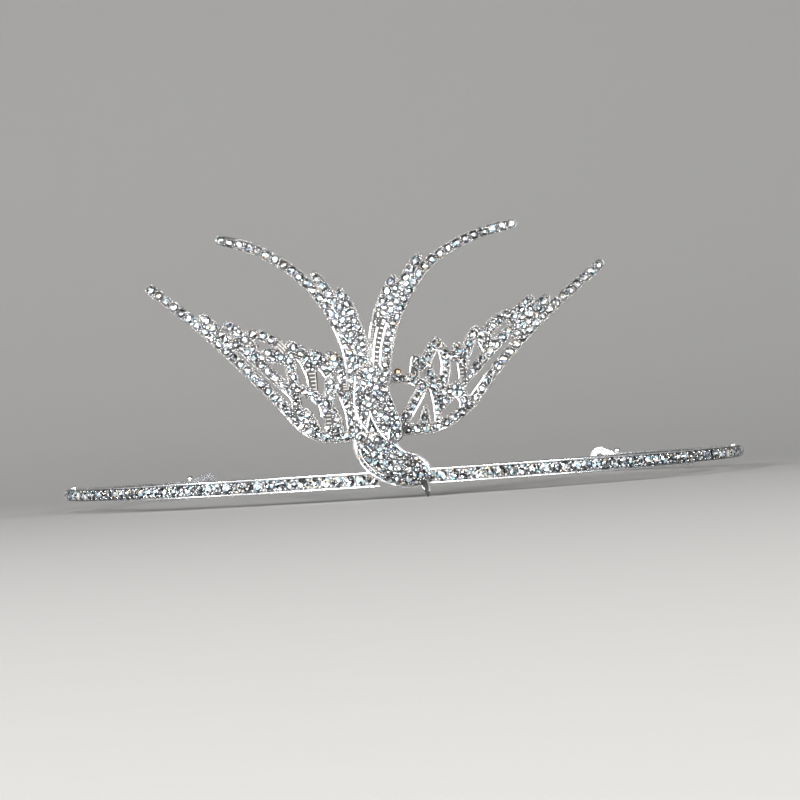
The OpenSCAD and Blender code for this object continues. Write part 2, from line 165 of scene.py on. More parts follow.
def vector(graph, operation, values, out=0):
    """A sum on vectors or colours, which a Math node would turn grey."""
    return graph.add("ShaderNodeVectorMath", {"operation": operation}, values, out)


print("helpers for materials are ready")

# %% [markdown]
# ### Plated silver
#
# Plating is a metal surface: it has almost no colour of its own and shows what is around
# it. One plain value would look like foil, so soft clouds make it more polished here and
# less there, and fine marks of the polishing wheel blur its reflections a little.
#
# Little light gets between the stones, and the plating there was never polished. The
# castings' meshes carry a value that darkens such places with painted shade and dulls
# them, and one called plain, which gives their backs the colour of smooth plating. Four
# mixes serve the polished wires, the castings, the small bars and the beads.

# %% Plated silver
CLOUDS, POLISH_MARKS = 3 * MM, 0.15 * MM
BACK_COLOR = (0.7, 0.7, 0.7, 1)


def silver(name, color, dull, darkest_shade=0.035):
    """Plated metal, darkened with painted shade and dulled where its mesh marks it."""
    material, graph = new_material(name)
    place = graph.add("ShaderNodeTexCoord", None, None, "Object")
    hollow = attribute(graph, "hollow")
    clouds = noise(graph, place, CLOUDS, 3.0)
    marks = noise(graph, place, POLISH_MARKS, 1.0)
    worn = blend(graph, clouds, (*color, 1), (*(0.88 * shade for shade in color), 1))
    bright = blend(graph, attribute(graph, "plain"), worn, BACK_COLOR)
    # Painted shade: where the mesh marks it, the colour goes towards near black.
    tint = blend(graph, hollow, bright, (darkest_shade, 0.95 * darkest_shade, 0.92 * darkest_shade, 1))
    normal = graph.add("ShaderNodeBump", None,
        {"Height": marks, "Strength": 0.12, "Distance": 0.02 * MM})
    surface(graph, {"Base Color": tint, "Metallic": 1.0,
        "Roughness": dull + 0.1 * clouds + 0.3 * hollow, "Normal": normal})
    return material


SILVER = silver("silver_plating", (0.85, 0.85, 0.86), 0.22)
# The castings' plating gets a far darker colour than the wires': a painted dark reflection of the
# surroundings.
CAST_SILVER_PAINTED_DARK = silver("cast_silver_painted_dark", (0.16, 0.153, 0.148), 0.26, 0.045)
DULL_SILVER = silver("dull_silver", (0.26, 0.25, 0.24), 0.35)
BEAD_SILVER = silver("bead_silver", (0.5, 0.5, 0.5), 0.2)
print("materials:", SILVER.name, CAST_SILVER_PAINTED_DARK.name, DULL_SILVER.name, BEAD_SILVER.name)

# %% [markdown]
# ### Foiled glass
#
# A foiled stone throws back the light from its foil through dozens of facets, so it looks
# like a patch of small mirrors under a clear coat. Light could be traced through real
# glass, but at two millimetres a stone that takes long and flickers. Instead random cells
# stand for the facets on its underside: each cell tips the normal its own way, and its colour
# is painted light, mostly bright, some dark as painted shade, a few tinted as painted glints.
# The stone's widest line is dark with painted shade.
#
# The cells lie in the stone's own coordinates, which its mesh carries under the name cut.
# It also carries its width, so that a small stone has fewer cells, and a random tone, so
# that no two stones look alike and some are quieter than others.

# %% Foiled glass
FACETS_PER_M, STRAY = 2200, 0.35
# Colours of the facet cells, painted light: dark ones are painted shade inside the stone, tinted
# ones painted glints of fire.
PAINTED_FACET_LIGHT = [(0.0, (0.01, 0.011, 0.012)), (0.3, (0.05, 0.053, 0.057)), (0.42, (0.24, 0.26, 0.29)),
    (0.56, (0.92, 0.94, 0.96)), (0.84, (0.5, 0.86, 0.98)), (0.92, (0.6, 0.7, 1.0)),
    (0.96, (1.0, 0.8, 0.55))]
# The widest line of each stone is darkened, a painted shade that makes the gaps between stones look
# dark.
GIRDLE_SHADE_RANGE = {"From Min": 0.42, "From Max": 0.49, "To Max": 0.85}
QUIET_COLOR, GIRDLE_SHADE_COLOR = (0.05, 0.05, 0.049, 1), (0.02, 0.02, 0.02, 1)


def foiled_glass(name):
    """Reads where on its own stone a point is, and a random number for each stone."""
    material, graph = new_material(name)
    cut, tone = attribute(graph, "cut", "Vector"), attribute(graph, "tone")
    width = attribute(graph, "width")
    across = vector(graph, "SUBTRACT", {0: cut, 1: (0.5, 0.5, 0)})
    reach = vector(graph, "LENGTH", {0: across}, "Value")
    shift = graph.add("ShaderNodeCombineXYZ", None, {"Z": 40 * tone})
    place = vector(graph, "ADD", {0: cut, 1: shift})
    cell = graph.add("ShaderNodeTexVoronoi", None,
        {"Vector": place, "Scale": width * FACETS_PER_M + 0.3}, "Color")
    pick = graph.add("ShaderNodeSeparateColor", None, {"Color": cell})
    # Painted light: the colours of the facet cells; below, painted shade on the widest line.
    shade = graph.add("ShaderNodeValToRGB", {"stops": PAINTED_FACET_LIGHT}, {"Fac": pick})
    rim = graph.add("ShaderNodeMapRange", None, {"Value": reach, **GIRDLE_SHADE_RANGE})
    quiet = (1 - tone) * (1 - tone) * 0.7
    tint = blend(graph, rim, blend(graph, quiet, shade, QUIET_COLOR), GIRDLE_SHADE_COLOR)
    tip = vector(graph, "SUBTRACT", {0: cell, 1: (0.5, 0.5, 0.5)})
    straight = graph.add("ShaderNodeNewGeometry", None, None, "Normal")
    tipped = vector(graph, "MULTIPLY_ADD", {0: tip, 1: (STRAY, STRAY, STRAY), 2: straight})
    normal = vector(graph, "NORMALIZE", {0: tipped})
    surface(graph, {"Base Color": tint, "Metallic": 0.75, "Roughness": 0.06,
        "Coat Weight": 0.6, "Coat Roughness": 0.02, "Normal": normal})
    return material


GLASS = foiled_glass("foiled_glass")
print("glass:", len(GLASS.node_tree.nodes), "nodes")

# %% [markdown]
# ### Brass
#
# The one bead of bare brass solder has oxidised a little, so its colour varies and it is
# duller than the plating. The same clouds as in the plating do that, only finer.


# %% Brass
def brass(name):
    material, graph = new_material(name)
    place = graph.add("ShaderNodeTexCoord", None, None, "Object")
    clouds = noise(graph, place, 0.6 * MM, 3.0)
    tint = blend(graph, clouds, (0.9, 0.6, 0.3, 1), (0.55, 0.3, 0.13, 1))
    surface(graph, {"Base Color": tint, "Metallic": 1.0, "Roughness": 0.15 + 0.2 * clouds})
    return material


BRASS = brass("solder_brass")
print("brass:", BRASS.name)

# %% [markdown]
# ## Pieces and their makers
#
# Every piece ends as a plain mesh at the origin that rides on the one body of the model.
# A CAD solid comes as loose triangles, so a piece that starts from one takes a copy of it
# with its vertices joined. Another helper makes that copy a mesh again, and the last gives
# a mesh its material and its body, and hides the solids it stands for.


# %% Piece helpers
def joined_copy(node):
    """A bmesh copy of a CAD solid, with its loose triangles joined."""
    shape = bmesh.new()
    shape.from_mesh(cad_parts[node].data)
    bmesh.ops.remove_doubles(shape, verts=shape.verts, dist=0.001 * MM)
    return shape


def plain_mesh(name, shape):
    """Turns a bmesh into a mesh."""
    mesh = bpy.data.meshes.new(name)
    shape.to_mesh(mesh)
    shape.free()
    return mesh


def placed(name, data):
    """A new object in the scene."""
    thing = bpy.data.objects.new(name, data)
    bpy.context.scene.collection.objects.link(thing)
    return thing


def finished(name, mesh, material, stands_for=()):
    """Makes a mesh or bmesh a piece of the object."""
    if isinstance(mesh, bmesh.types.BMesh):
        mesh = plain_mesh(name, mesh)
    mesh.materials.clear()
    mesh.materials.append(material)
    piece = placed(name, mesh)
    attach(piece, "root")
    if stands_for:
        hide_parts(*stands_for)
    print(f"{name}: {len(mesh.polygons)} faces")


# %% [markdown]
# ## Cut stones
#
# A round stone is cut with a flat table on top, a ring of star facets, a ring of kites and
# a ring of small triangles down to its widest line. It could be a smooth drum with a
# drawn pattern, but real facets catch the light one by one when the piece is turned. One
# unit stone and one bead have only a few dozen faces, because they are repeated often.


# %% One cut stone
def cut_stone(name):
    """A stone of unit width, outside the scene, for a tree to copy."""
    eighth = 2 * pi / 8
    wide, top_of_wall, crown, table = 0.5, 0.17, (0.39, 0.29), (0.27, 0.385)
    shape = bmesh.new()

    def ring(count, radius, height, turn=0.0):
        return [shape.verts.new((radius * cos(2 * pi * k / count + turn),
            radius * sin(2 * pi * k / count + turn), height)) for k in range(count)]

    base, girdle = ring(16, wide, 0), ring(16, wide, top_of_wall)
    middle = ring(8, *crown, eighth / 2)
    top = ring(8, *table)
    centre = shape.verts.new((0, 0, table[1] - 0.02))
    shape.faces.new(reversed(base))
    for k in range(16):
        j = (k + 1) % 16
        shape.faces.new((base[k], base[j], girdle[j], girdle[k]))
    for k in range(8):
        after, before = (k + 1) % 8, (k - 1) % 8
        shape.faces.new((top[k], top[after], centre))
        shape.faces.new((top[k], middle[k], top[after]))
        shape.faces.new((top[k], middle[before], girdle[2 * k], middle[k]))
        shape.faces.new((middle[k], girdle[2 * k], girdle[2 * k + 1]))
        shape.faces.new((middle[k], girdle[2 * k + 1], girdle[(2 * k + 2) % 16]))
    bmesh.ops.recalc_face_normals(shape, faces=shape.faces)
    cut = shape.loops.layers.uv.new("cut")
    for face in shape.faces:
        for corner in face.loops:
            corner[cut].uv = corner.vert.co.xy + Vector((0.5, 0.5))
    return bpy.data.objects.new(name, plain_mesh(name, shape))


STONE = cut_stone("stone_pattern")
print("stone pattern:", len(STONE.data.polygons), "faces")


# %% One bead
def metal_bead(name):
    shape = bmesh.new()
    bmesh.ops.create_uvsphere(shape, u_segments=8, v_segments=5, radius=0.5)
    for face in shape.faces:
        face.smooth = True
    return bpy.data.objects.new(name, plain_mesh(name, shape))


BEAD = metal_bead("bead_pattern")
print("bead pattern:", len(BEAD.data.polygons), "faces")

# %% [markdown]
# ## Setting stones and beads
#
# A setter drops each stone into its own seat. Here a seat is a point that knows which way
# it faces and how wide its stone is, and a Geometry Nodes tree puts a copy of the pattern
# on each, turned at random about its own axis. Python could copy them one by one, but the
# tree makes them all in one step from a few named inputs.


# %% The tree that sets stones and beads
def new_tree(name, inputs):
    """A geometry tree with named inputs, and its input node."""
    tree = bpy.data.node_groups.new(name, "GeometryNodeTree")
    tree.interface.new_socket("Geometry", in_out="OUTPUT", socket_type="NodeSocketGeometry")
    for socket, kind in {"Geometry": "Geometry", **inputs}.items():
        tree.interface.new_socket(socket, in_out="INPUT", socket_type="NodeSocket" + kind)
    graph = Graph(tree)
    return tree, graph, graph.add("NodeGroupInput")


def end_tree(graph, shape, finish):
    real = graph.add("GeometryNodeRealizeInstances", None, {"Geometry": shape})
    done = graph.add("GeometryNodeSetMaterial", None, {"Geometry": real, "Material": finish})
    graph.add("NodeGroupOutput", None, {"Geometry": done})


def setting_tree():
    tree, graph, given = new_tree("set_on_seats", {"Pattern": "Object", "Finish": "Material",
        "Size": "Float", "Lift": "Float", "Lively": "Float", "Seed": "Int"})
    facing = graph.add("GeometryNodeInputNamedAttribute",
        {"data_type": "FLOAT_VECTOR"}, {"Name": "facing"})
    width = graph.add("GeometryNodeInputNamedAttribute", None, {"Name": "width"})
    chance = graph.add("FunctionNodeRandomValue", None, {"Seed": given.of("Seed")}, 1)
    toned = graph.add("GeometryNodeStoreNamedAttribute", None,
        {"Geometry": given.of("Geometry"), "Name": "tone", "Value": chance * given.of("Lively")})
    upright = graph.add("FunctionNodeAlignRotationToVector", {"axis": "Z"}, {"Vector": facing})
    turn = graph.add("FunctionNodeAxisAngleToRotation",
        None, {"Axis": (0, 0, 1), "Angle": 2 * pi * chance})
    spun = graph.add("FunctionNodeRotateRotation",
        {"rotation_space": "LOCAL"}, {0: upright, 1: turn})
    lift = vector(graph, "SCALE", {0: facing, "Scale": given.of("Lift")})
    raised = graph.add("GeometryNodeSetPosition", None, {"Geometry": toned, "Offset": lift})
    pattern = graph.add("GeometryNodeObjectInfo", None, {"Object": given.of("Pattern")}, "Geometry")
    copies = graph.add("GeometryNodeInstanceOnPoints", None, {"Points": raised,
        "Instance": pattern, "Rotation": spun, "Scale": width * given.of("Size")})
    end_tree(graph, copies, given.of("Finish"))
    return tree


SETTING = setting_tree()
print("setting tree:", len(SETTING.nodes), "nodes")


# %% Seats, and what is set on them
class Seats:
    """Places in metres, the way each faces, and the width of what is set there."""

    def __init__(self, places, facings, widths):
        self.places = np.asarray(places, float).reshape(-1, 3)
        self.facings = np.asarray(facings, float).reshape(-1, 3)
        self.widths = np.broadcast_to(np.asarray(widths, float), len(self.places)).copy()

    def __len__(self):
        return len(self.places)


def identifiers(tree):
    """The identifier of each named input of a tree."""
    return {item.name: item.identifier for item in tree.interface.items_tree
        if item.in_out == "INPUT"}


def modified(mesh, tree, values):
    """What a tree makes of a mesh, as a plain mesh."""
    holder = placed("holder", mesh)
    modifier = holder.modifiers.new("tree", "NODES")
    modifier.node_group = tree
    for name, value in values.items():
        modifier[identifiers(tree)[name]] = value
    view = bpy.context.evaluated_depsgraph_get()
    made = bpy.data.meshes.new_from_object(holder.evaluated_get(view))
    holder.modifiers.remove(modifier)
    bpy.data.objects.remove(holder)
    return made


def set_on(name, seats, pattern, finish, seed, size=1.0, lift=0.0, lively=1.0, stands_for=()):
    """A piece with one copy of a pattern on each seat."""
    mesh = bpy.data.meshes.new("seats")
    mesh.from_pydata(seats.places.tolist(), [], [])
    facing = mesh.attributes.new("facing", "FLOAT_VECTOR", "POINT")
    facing.data.foreach_set("vector", seats.facings.astype(np.float32).ravel())
    width = mesh.attributes.new("width", "FLOAT", "POINT")
    width.data.foreach_set("value", seats.widths.astype(np.float32))
    copies = modified(mesh, SETTING, {"Pattern": pattern, "Finish": finish, "Size": size,
        "Lift": lift, "Lively": lively, "Seed": seed})
    finished(name, copies, finish, stands_for)


print("inputs of the setting tree:", identifiers(SETTING))

# %% [markdown]
# ## Wires
#
# The rims of the band, the ridges on the tail and every polished edge are round in section
# and follow a path. Each could be a curve with a bevel. One tree that sweeps a circle
# along any number of paths does the same for all, and closes the ends.


# %% The tree that draws wires
def wire_tree():
    tree, graph, given = new_tree("wire_along_paths", {"Radius": "Float", "Finish": "Material"})
    paths = graph.add("GeometryNodeMeshToCurve", None, {"Mesh": given.of("Geometry")})
    profile = graph.add("GeometryNodeCurvePrimitiveCircle", {"mode": "RADIUS"},
        {"Resolution": 8, "Radius": given.of("Radius")})
    tube = graph.add("GeometryNodeCurveToMesh", None,
        {"Curve": paths, "Profile Curve": profile, "Fill Caps": True})
    soft = graph.add("GeometryNodeSetShadeSmooth", None, {"Geometry": tube})
    end_tree(graph, soft, given.of("Finish"))
    return tree


WIRE = wire_tree()
print("wire tree:", len(WIRE.nodes), "nodes")


# %% Wires along paths
def wires(name, paths, radius, finish=SILVER):
    """A piece of round wires along paths, each a list of points."""
    points, edges = [], []
    for path in paths:
        edges += [(len(points) + k, len(points) + k + 1) for k in range(len(path) - 1)]
        points += [tuple(point) for point in path]
    mesh = bpy.data.meshes.new("paths")
    mesh.from_pydata(points, edges, [])
    finished(name, modified(mesh, WIRE, {"Radius": radius, "Finish": finish}), finish)


def smooth_path(points, steps=5):
    """Points of a smooth curve through the given ones."""
    ends = [np.array(point, float) for point in points]
    ends = [ends[0]] + ends + [ends[-1]]
    curve = []
    for a, b, c, d in zip(ends, ends[1:], ends[2:], ends[3:]):
        for t in np.arange(steps) / steps:
            curve.append(b + (c - a) * t / 2 + (2 * a - 5 * b + 4 * c - d) * t**2 / 2
                + (3 * b - 3 * c + d - a) * t**3 / 2)
    return curve + [ends[-1]]


print("a smooth path:", smooth_path([(0, 0), (1, 1)], 2))

# %% [markdown]
# ## Where the large stones sit
#
# Every large stone is a solid of its own in the CAD model. Each is a short drum with a
# sloped top, so its flattest direction is the way it faces, and its widest ring gives the
# width of its seat. The cut stones are then set on exactly those seats.


# %% Seats of the CAD stones
def islands(shape):
    """Lists the vertices of each separate solid in a bmesh."""
    todo, found = set(shape.verts), []
    while todo:
        front = [todo.pop()]
        island = list(front)
        while front:
            near = {edge.other_vert(vert) for vert in front for edge in vert.link_edges} & todo
            todo -= near
            front = list(near)
            island += front
        found.append(island)
    return found


def stone_seats(node):
    shape = joined_copy(node)
    places, facings, widths = [], [], []
    for island in islands(shape):
        points = np.array([vert.co for vert in island], float)
        middle = points.mean(0)
        axis = np.linalg.svd(points - middle)[2][2]
        height = (points - middle) @ axis
        spread = np.linalg.norm(points - middle - height[:, None] * axis, axis=1)
        if np.corrcoef(height, spread)[0, 1] > 0:
            axis, height = -axis, -height
        places.append(middle + axis * height.min())
        facings.append(axis)
        widths.append(2 * spread.max())
    shape.free()
    order = np.lexsort(np.round(np.array(places).T, 6))
    return Seats(np.array(places)[order], np.array(facings)[order], np.array(widths)[order])


LARGE = {node: stone_seats(node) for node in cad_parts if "stones" in node}
print("large stones:", {node: len(seats) for node, seats in LARGE.items()})

# %% [markdown]
# ## The row of stones in the band
#
# Each stone of the band sits in the channel with its neighbours almost touching, and two
# small prongs are pushed over each gap between them, one from either rim. The prongs are
# the same beads as on the bird, set half way between two stones, so the stones' own seats
# say where they go. The rims in front are polished round, which a wire along each gives.

# %% Band stones and their prongs
HOOP_Y, HOOP_R, BAND_Z = 11.19 * MM, 75.5 * MM, 3.95 * MM
SNUG, BAND_SEED, BAND_LIVELY = 1.07, 3, 1.7
PRONGS_APART, PRONG_W, PRONG_LIFT = 1.5 * MM, 0.5 * MM, 0.25 * MM


def prong_seats(stones):
    """Two prongs over each gap between stones of the band."""
    angle = np.arctan2(stones.places[:, 0], HOOP_Y - stones.places[:, 1])
    order = np.argsort(angle)
    places, facings = [], []
    for a, b in zip(order[:-1], order[1:]):
        facing = stones.facings[a] + stones.facings[b]
        facing /= np.linalg.norm(facing)
        for side in (-1, 1):
            between = (stones.places[a] + stones.places[b]) / 2
            places.append(between + (0, 0, side * PRONGS_APART / 2))
            facings.append(facing)
    return Seats(places, facings, PRONG_W)


for side in ("left", "right"):
    stones = LARGE[f"band_stones_{side}"]
    set_on(f"band_stones_{side}_cut", stones, STONE, GLASS, BAND_SEED, SNUG, lively=BAND_LIVELY,
        stands_for=[f"band_stones_{side}"])
    set_on(f"band_prongs_{side}", prong_seats(stones), BEAD, SILVER, 0, lift=PRONG_LIFT)

# %% Rims of the band
RIM_SPANS = ((-52.5, -3.6), (2.7, 52.5))
RIM_INSET, RIM_OFF_MIDDLE, RIM_WIRE = 0.13 * MM, 1.34 * MM, 0.29 * MM


def hoop_arc(start, end, radius, height):
    """Points round the hoop between two angles from the front, in degrees."""
    return [Vector((radius * sin(radians(a)), HOOP_Y - radius * cos(radians(a)), height))
        for a in np.linspace(start, end, 40)]


RIMS = [hoop_arc(*span, HOOP_R - RIM_INSET, BAND_Z + side * RIM_OFF_MIDDLE)
    for span in RIM_SPANS for side in (-1, 1)]
wires("band_rims", RIMS, RIM_WIRE)

# %% [markdown]
# ## Stones and beads that fill a surface
#
# The wings, the tail, the breast and the mantle are covered with stones as tightly as they
# will go, and beads fill what is left. A jeweller lays the largest stones first and fits
# smaller ones into what remains. The same rule is followed here: the free surface is
# covered with trial points, each knows its distance to the nearest obstacle, and the next
# stone always goes where there is most room, or, where there is room for the largest size
# in many places, where it touches its neighbours.

# %% Trial points on a surface
PER_MM2, EDGE_STEP = 120, 0.1 * MM


def trial_points(shape, wanted, seed, smooth=False):
    """Random points on the wanted faces, their normals, and their distance to the edge."""
    chance = np.random.RandomState(seed)
    places, facings, rim = [], [], []
    for face in shape.faces:
        face.tag = wanted(face)
    for edge in shape.edges:
        if {face.tag for face in edge.link_faces} == {True, False}:
            a, b = (np.array(vert.co) for vert in edge.verts)
            steps = max(1, int(np.linalg.norm(b - a) / EDGE_STEP))
            rim.extend(a + (b - a) * k / steps for k in range(steps + 1))
    for face in shape.faces:
        if not face.tag:
            continue
        u, v = chance.rand(2, chance.poisson(face.calc_area() / MM**2 * PER_MM2))[:, :, None]
        over = u + v > 1
        u[over], v[over] = 1 - u[over], 1 - v[over]
        normals = [vert.normal if smooth else face.normal for vert in face.verts]
        for found, corners in ((places, [vert.co for vert in face.verts]), (facings, normals)):
            a, b, c = map(np.array, corners)
            found.append(a + u * (b - a) + v * (c - a))
    places, facings = np.vstack(places), np.vstack(facings)
    facings /= np.linalg.norm(facings, axis=1)[:, None]
    return places, facings, distance_to(rim, places)


def distance_to(points, places):
    tree = KDTree(len(points))
    for k, point in enumerate(points):
        tree.insert(point, k)
    tree.balance()
    return np.array([tree.find(place)[2] for place in places])


print("trial points:", PER_MM2, "per mm2")

# %% Packing
TIE = 0.01 * MM


def room_beside(places, room, place, radius, apart):
    """The room that one round thing leaves."""
    return np.minimum(room, np.linalg.norm(places - place, axis=1) - radius - apart)


def pack(places, facings, room, largest, smallest, apart):
    """Fits circles of a radius from largest down to smallest, each where there is room."""
    chosen, radii = [], []
    room = room.copy()
    while True:
        fit = np.minimum(room, largest)
        best = fit.max()
        if best < smallest:
            break
        equal = np.flatnonzero(fit > best - TIE)
        pick = equal[np.argmin(room[equal])]
        chosen.append(pick)
        radii.append(best)
        room = room_beside(places, room, places[pick], best, apart)
    return Seats(places[chosen], facings[chosen], 2 * np.array(radii)), room


print("places within", TIE / MM, "mm are equal")

# %% Filling
OVER_EDGE = 0.04 * MM
STONE_GAP, BEAD_GAP = 0.03 * MM, 0.02 * MM
BEAD_R, SMALL_BEAD_R, BEAD_UNDER, BEAD_LIFT = 0.18 * MM, 0.12 * MM, 0.08 * MM, 0.15 * MM


def filled(name, shape, wanted, seed, set_already=None, widest=1.3, narrowest=0.55, smooth=False,
        keep_off=(), lively=1.0):
    """Fills a surface with stones and beads, as two pieces. Widths are in mm."""
    places, facings, room = trial_points(shape, wanted, seed, smooth)
    room += OVER_EDGE
    for points, clearance in keep_off:
        room = np.minimum(room, distance_to(points, places) - clearance)
    if set_already:
        for place, width in zip(set_already.places, set_already.widths):
            room = room_beside(places, room, place, width / 2, STONE_GAP)
    stones, left = pack(places, facings, room, widest / 2 * MM, narrowest / 2 * MM, STONE_GAP)
    beads, _ = pack(places, facings, left + BEAD_UNDER, BEAD_R, SMALL_BEAD_R, BEAD_GAP)
    set_on(f"{name}_fine_stones", stones, STONE, GLASS, seed, lively=lively)
    set_on(f"{name}_beads", beads, BEAD, BEAD_SILVER, seed, lift=BEAD_LIFT)
    print(f"{name}: {len(stones)} fine stones, {len(beads)} beads")


# %% [markdown]
# ## Wings and tail
#
# The wings and the halves of the tail are flat castings with a raised rim round their
# outside and round each gap. In the mould such a rim comes out tapered, and the polishing
# wheel rounds its top. The floor behind it is given painted shade. So each casting is a
# joined copy of its CAD solid with its rims narrowed at the top and shaded round.
# The wings sweep back and the tail doesn't, so one helper turns a place that was read from
# the front, in mm across and up, into a point on the right casting.

# %% Places on the flat castings
WING_BACK, TAIL_BACK, PLATE_T, RIM_RISE = 75.7 * MM, 76.85 * MM, 0.8 * MM, 0.3 * MM
ROOTS = {"left_wing": (-5 * MM, -7), "right_wing": (-4.7 * MM, 7)}


def on_plate(node, x, z, height=0.0):
    """A point given in mm on the floor of a wing or of half the tail."""
    if "tail" in node:
        return Vector((x * MM, HOOP_Y - TAIL_BACK - PLATE_T - height * MM, z * MM))
    root, sweep = ROOTS[node]
    flat = Vector((x * MM - root, -PLATE_T - height * MM, z * MM))
    return Matrix.Rotation(radians(sweep), 3, "Z") @ flat + Vector((root, HOOP_Y - WING_BACK, 0))


print("root of the left wing:", on_plate("left_wing", -5, 20))

# %% [markdown]
# ### Bars, ridges and rungs
#
# Here and there the caster left out the stones and cut small ladders of bars instead. On
# the right half of the tail run two polished ridges, with fine rungs in the groove between
# them. All are short wires. They could be cut into the casting, but so small a step would
# hardly catch the light, and a round bar does.

# %% Ridges and rungs
RIDGE_HEIGHT, RIDGE_WIRE = 0.12, 0.24 * MM
RUNG_HEIGHT, RUNG_WIRE, RUNG_EVERY, RUNG_REACH = 0.1, 0.15 * MM, 18, 0.3
RIDGES = [
    [(-4.62, 24.4), (-4.5, 26), (-4.35, 28), (-4.05, 30), (-3.65, 32), (-3.2, 33.5)],
    [(-3.4, 24.4), (-3.25, 26), (-3.0, 28), (-2.65, 30), (-2.1, 32), (-1.35, 34.2)],
]
ridge_lines = [smooth_path([on_plate("right_tail", x, z, RIDGE_HEIGHT) for x, z in ridge])
    for ridge in RIDGES]
GROOVE = [(-3.88, 26.4), (-3.68, 28), (-3.35, 30), (-2.88, 32), (-2.2, 34), (-1.9, 34.7)]
groove = smooth_path(GROOVE, 40)
rungs = []
for k in range(0, len(groove), RUNG_EVERY):
    (x, z), turn = groove[k], radians(12 + 10 * k / len(groove))
    rungs.append([on_plate("right_tail", x + reach * cos(turn), z - reach * sin(turn), RUNG_HEIGHT)
        for reach in (-RUNG_REACH, 0, RUNG_REACH)])
wires("tail_ridges", ridge_lines, RIDGE_WIRE)
wires("tail_rungs", rungs, RUNG_WIRE)

# %% Ladders of bars
BAR_HEIGHT, RIB_HEIGHT, BAR_WIRE = 0.06, -0.06, 0.2 * MM


def bars(node, rows):
    """Straight bars across a feather, each given as z, x from and x to."""
    return [[on_plate(node, x, z, BAR_HEIGHT) for x in np.linspace(low, high, 4)]
        for z, low, high in rows]


BARS = {
    "left_wing": bars("left_wing", [(22.35 + 0.75 * k, -16.6 - 0.15 * k, -15.95) for k in range(5)]
        + [(21.85 + 0.5 * k, -10.6, -9.5) for k in range(3)]
        + [(15.5 + 0.75 * k, -14.3, -13.4) for k in range(3)])
        + [[on_plate("left_wing", x + 0.34 * k, z + 0.43 * k, RIB_HEIGHT)
            for x, z in ((-23.0, 31.7), (-22.25, 30.95), (-21.6, 30.15))] for k in (-1, 0, 1)],
    "right_wing": bars("right_wing", [(23.0 + 0.7 * k, 12.2, 13.0) for k in range(3)]),
    "right_tail": bars("right_tail",
        [(31.0 + 0.45 * k, -5.0 + 0.09 * k, -4.3 + 0.09 * k) for k in range(6)]),
}
for node, lines in BARS.items():
    wires(f"{node}_bars", lines, BAR_WIRE, DULL_SILVER)

# %% [markdown]
# ### Edges that catch the light
#
# Along some of the gaps the rim catches the light as a thin white line. The rim could be
# given a brighter material in these places, but its top is too narrow to show it. So a thin
# wire is drawn along each, from a few points read from the front, and pulled to the nearest
# rim so that it lies exactly on it. The round wire catches the lamps, but its bright plating,
# laid only there on the darker casting, is a painted highlight.

# %% Where the edges catch the light
BLADES = {
    "left_wing": [
        [(-11.9, 20), (-11.2, 18.7), (-10.75, 17.5), (-10.5, 16.5), (-10.35, 15.2), (-10.4, 14.3)],
        [(-11.8, 24.4), (-11.2, 23.4), (-10.9, 22.8)],
        [(-15.2, 26.2), (-14.3, 25), (-14, 24.3)],
        [(-19.3, 28), (-18.1, 26), (-17.6, 24.5), (-17, 23.3)],
        [(-22.5, 22.7), (-21.3, 21.2), (-20.5, 20.1)],
        [(-16.9, 21), (-16, 19.9)],
        [(-15.8, 18.7), (-15, 17)],
        [(-23.3, 18.4), (-22.4, 17.5)],
        [(-21.9, 16.9), (-21.2, 16.1)],
        [(-20.7, 15.7), (-19.8, 14.8)],
        [(-19, 14.2), (-18.2, 13.4)]],
    "right_wing": [
        [(2.1, 24.6), (2.35, 25.6), (2.6, 26.5), (2.95, 27.5)],
        [(8.1, 28.3), (8.35, 27.5), (8.6, 26.5), (8.75, 25.5), (8.8, 24.5), (8.7, 23.5)],
        [(6.2, 20.7), (6.5, 19.5), (6.65, 18.5), (6.7, 17), (6.7, 15.5), (6.6, 14.6)],
        [(5.0, 20.1), (4.4, 19.3), (3.9, 18.5), (3.4, 17.6), (2.9, 16.8), (2.4, 16)],
        [(11.0, 19.0), (11.3, 18.3), (11.6, 17.4), (11.9, 16.8)],
        [(11.6, 25.6), (11.9, 24.8), (12.05, 24), (12.05, 23), (12.0, 22.5)],
        [(2.2, 22.5), (2.6, 22), (3.2, 21.3)],
        [(14, 19.3), (14.9, 20.2), (16, 21.4), (17, 22.8)],
        [(7.2, 12.95), (8.0, 12.9), (8.8, 13.1)],
        [(16.2, 29.4), (16.7, 28.6), (17.2, 27.6)]],
    "left_tail": [
        [(-12.1, 34), (-11.1, 32), (-10.5, 30.5), (-10.2, 29), (-10, 27.5), (-9.8, 26)]],
    "right_tail": [
        [(-5.2, 31.5), (-4.95, 33), (-4.6, 34.6)]],
}
print("polished edges:", {node: len(paths) for node, paths in BLADES.items()})

# %% Drawing them to the rims
NEAR, PULL = 0.04 * MM, 0.6 * MM


def drawn_to_rims(node, path, rims):
    """A smooth curve through points given in mm, drawn to the nearest rim and evened out."""
    curve = [on_plate(node, x, z, RIM_RISE / MM) for x, z in smooth_path(path)]
    curve = [rims.find_nearest(point, PULL)[0] or point for point in curve]
    for _ in range(3):
        curve[1:-1] = [(a + 2 * b + c) / 4 for a, b, c in zip(curve, curve[1:], curve[2:])]
    return curve


def rim_tops(shape, level):
    """The tops of a casting's rims, for finding the nearest place on them."""
    shape.verts.index_update()
    tops = [[vert.index for vert in face.verts] for face in shape.faces
        if all(level(vert.co) > -NEAR for vert in face.verts)]
    return BVHTree.FromPolygons([vert.co.copy() for vert in shape.verts], tops)


print("edges are pulled up to", PULL / MM, "mm")
